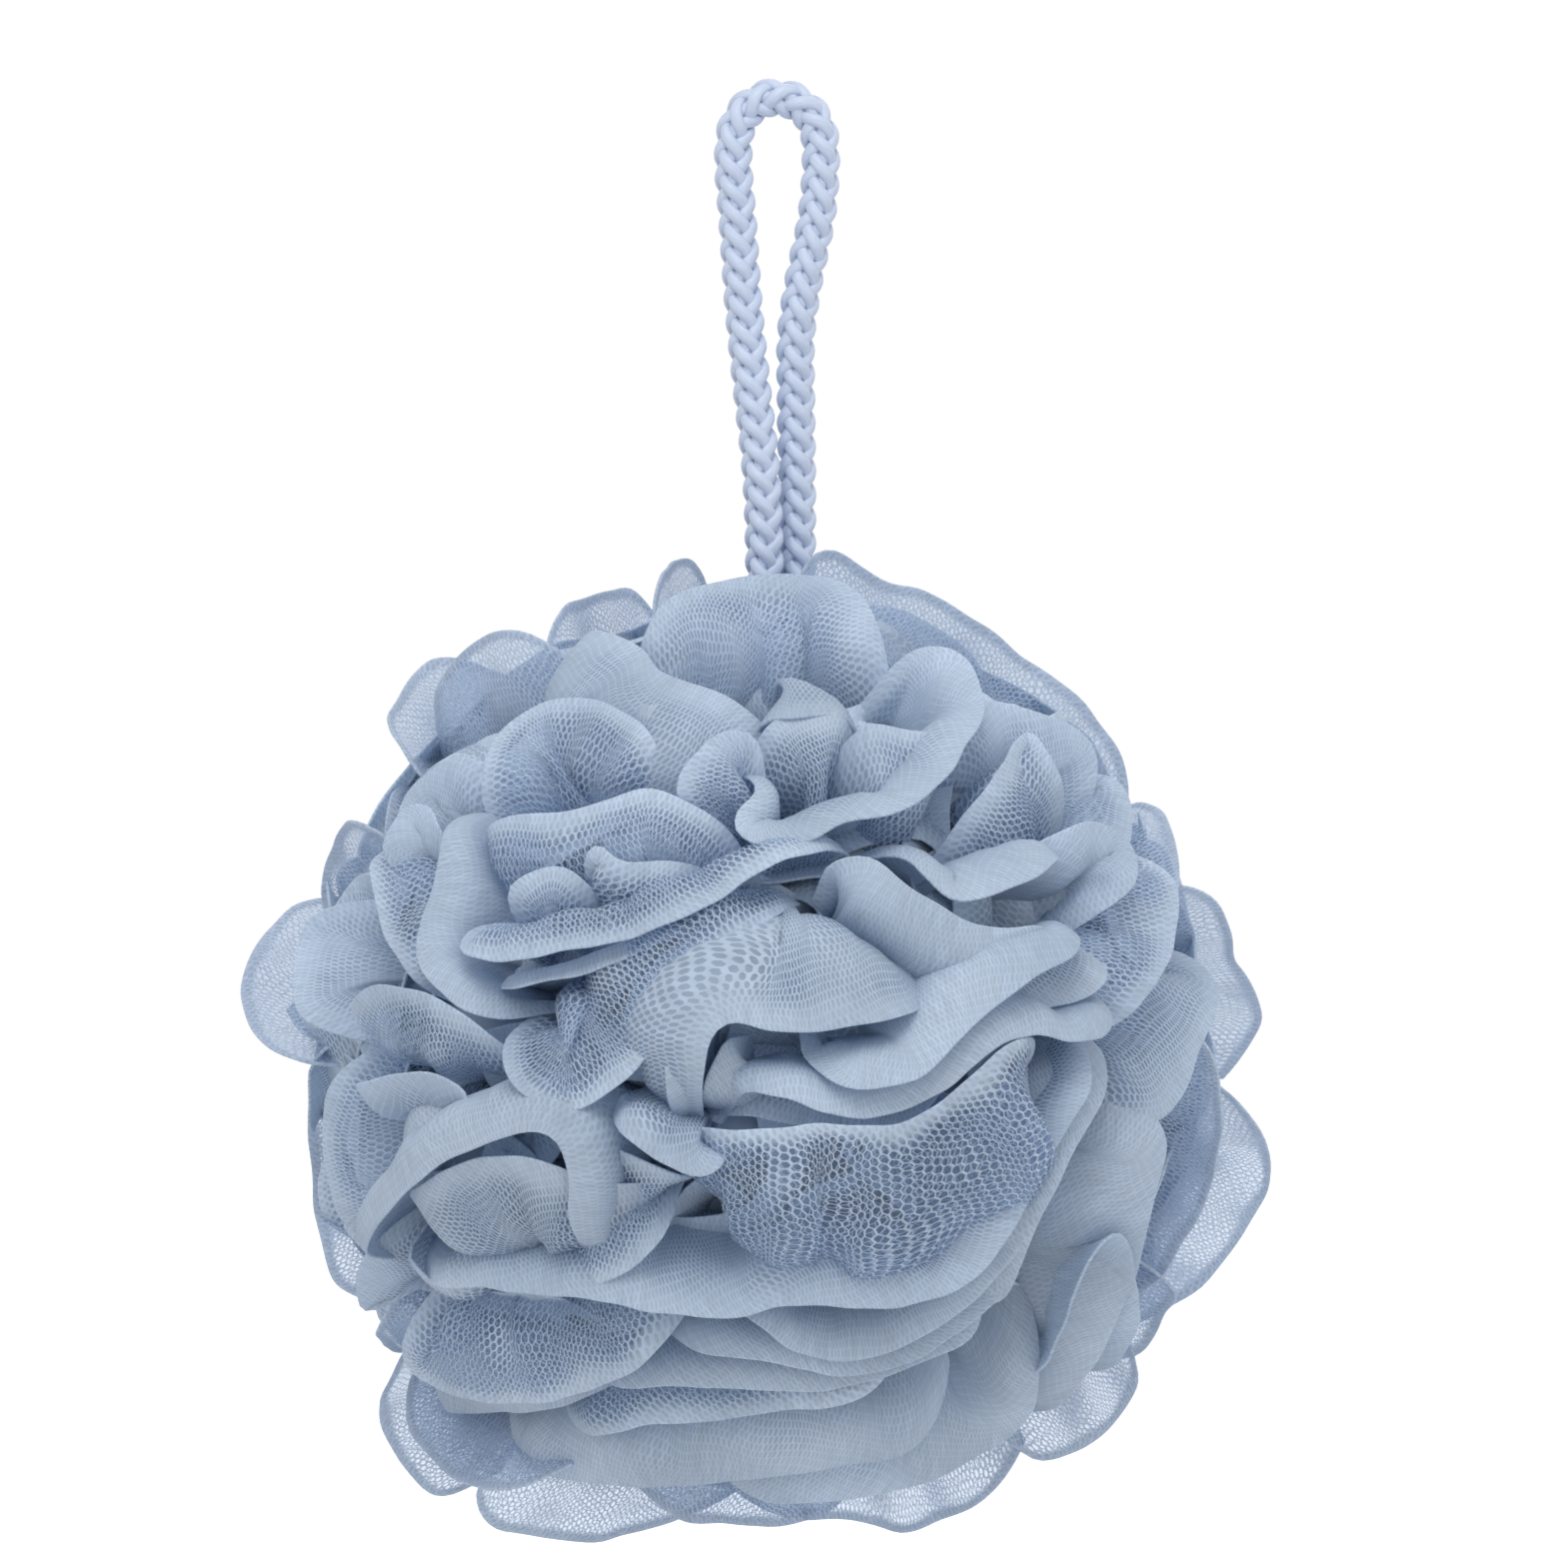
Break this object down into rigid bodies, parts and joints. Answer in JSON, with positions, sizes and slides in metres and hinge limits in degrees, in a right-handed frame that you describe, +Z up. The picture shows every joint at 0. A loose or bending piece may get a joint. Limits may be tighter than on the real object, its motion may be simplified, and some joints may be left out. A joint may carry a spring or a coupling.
{
  "type": "mesh bath pouf",
  "caption": "Ball of gathered double net with ruffled folds, tied at its middle, hanging from a closed loop of white braided cord.",
  "frame": {"origin": "the hang point, on the inside of the top of the cord loop", "axes": "+Z up, against the pull of the hanging pouf; the front of the ball faces -Y; +X to the right"},
  "size_m": [0.1194, 0.116, 0.1699],
  "materials": {
    "net": "soft translucent plastic net",
    "cord": "soft braided cord",
    "tie": "thin cord"
  },
  "bodies": {
    "root": {"netting": "net", "hanging_cord": "cord", "cord_knot": "cord", "binding_tie": "tie"}
  },
  "joints": []
}
